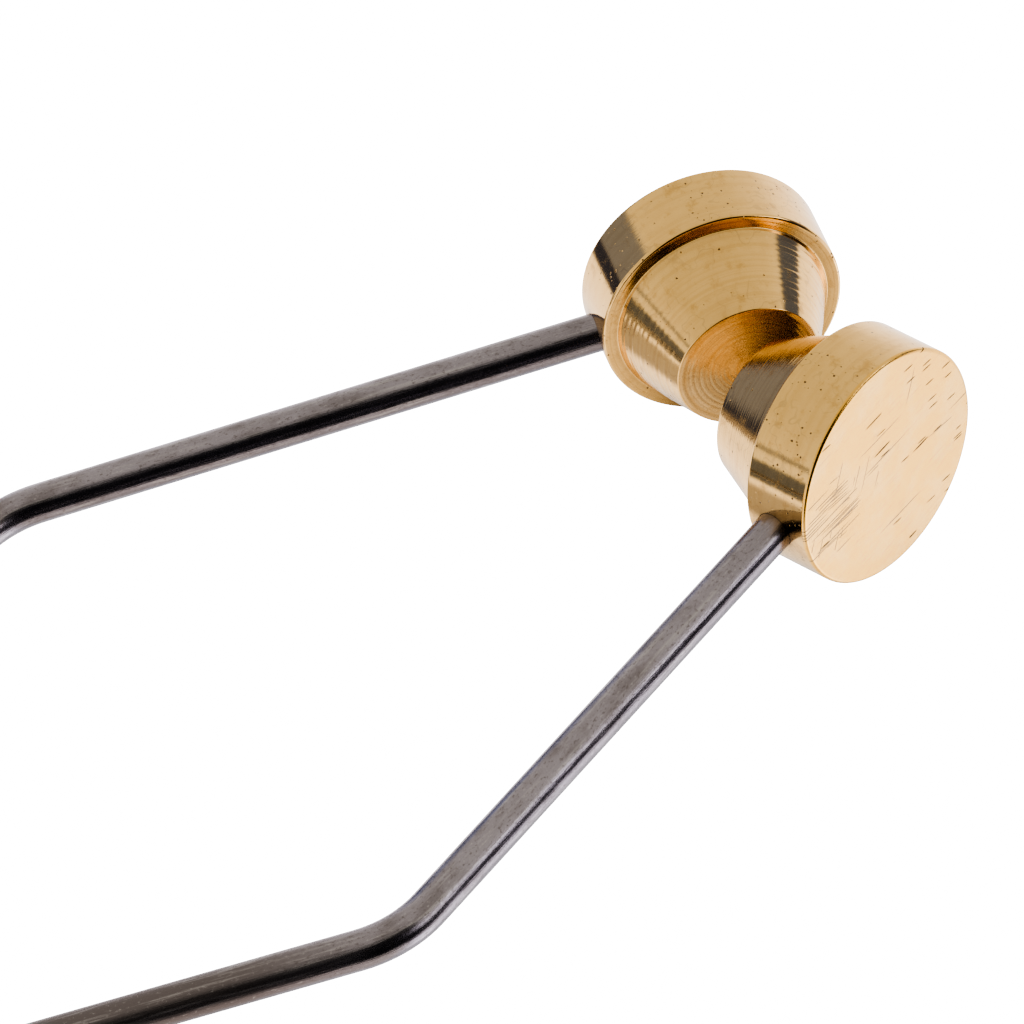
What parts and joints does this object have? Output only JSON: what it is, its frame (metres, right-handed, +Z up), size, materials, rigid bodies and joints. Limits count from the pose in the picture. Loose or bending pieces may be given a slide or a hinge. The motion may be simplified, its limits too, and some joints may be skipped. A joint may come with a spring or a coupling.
{
  "type": "fly-tying bobbin holder",
  "caption": "Thread bobbin holder lying flat: spring-wire arms with turned brass feet that grip a spool, held in a brass head with a thread tube.",
  "frame": {"origin": "on the tool's centreline, halfway along it, at the surface it lies flat on", "axes": "+Z up from the surface, +Y along the tool from the thread tube's tip towards the feet, +X to the right arm with the tube pointing away from +Y"},
  "size_m": [0.031, 0.12, 0.01],
  "materials": {
    "foot_brass": "turned and polished, with fine scratches and pits",
    "head_brass": "turned and polished",
    "arm_steel": "drawn spring wire, satin grey with a slight brown tinge",
    "tube_steel": "polished stainless steel",
    "ceramic": "polished white alumina"
  },
  "bodies": {
    "head": {"head": "head_brass", "thread_tube": "tube_steel", "tip_insert": "ceramic", "throat_insert": "ceramic", "right_arm_root": "arm_steel", "left_arm_root": "arm_steel"},
    "right_arm": {"right_arm": "arm_steel", "right_foot": "foot_brass"},
    "left_arm": {"left_arm": "arm_steel", "left_foot": "foot_brass"}
  },
  "joints": [
    {"name": "right_arm_spring", "type": "hinge", "parent": "head", "child": "right_arm", "pos_m": [0.00597, 0.00336, 0.005], "axis": [0, 0, -1], "range_deg": [0, 15], "stiffness_Nm_per_rad": 2.3},
    {"name": "left_arm_spring", "type": "hinge", "parent": "head", "child": "left_arm", "pos_m": [-0.00609, 0.00336, 0.005], "axis": [0, 0, 1], "range_deg": [0, 15], "stiffness_Nm_per_rad": 2.3}
  ]
}
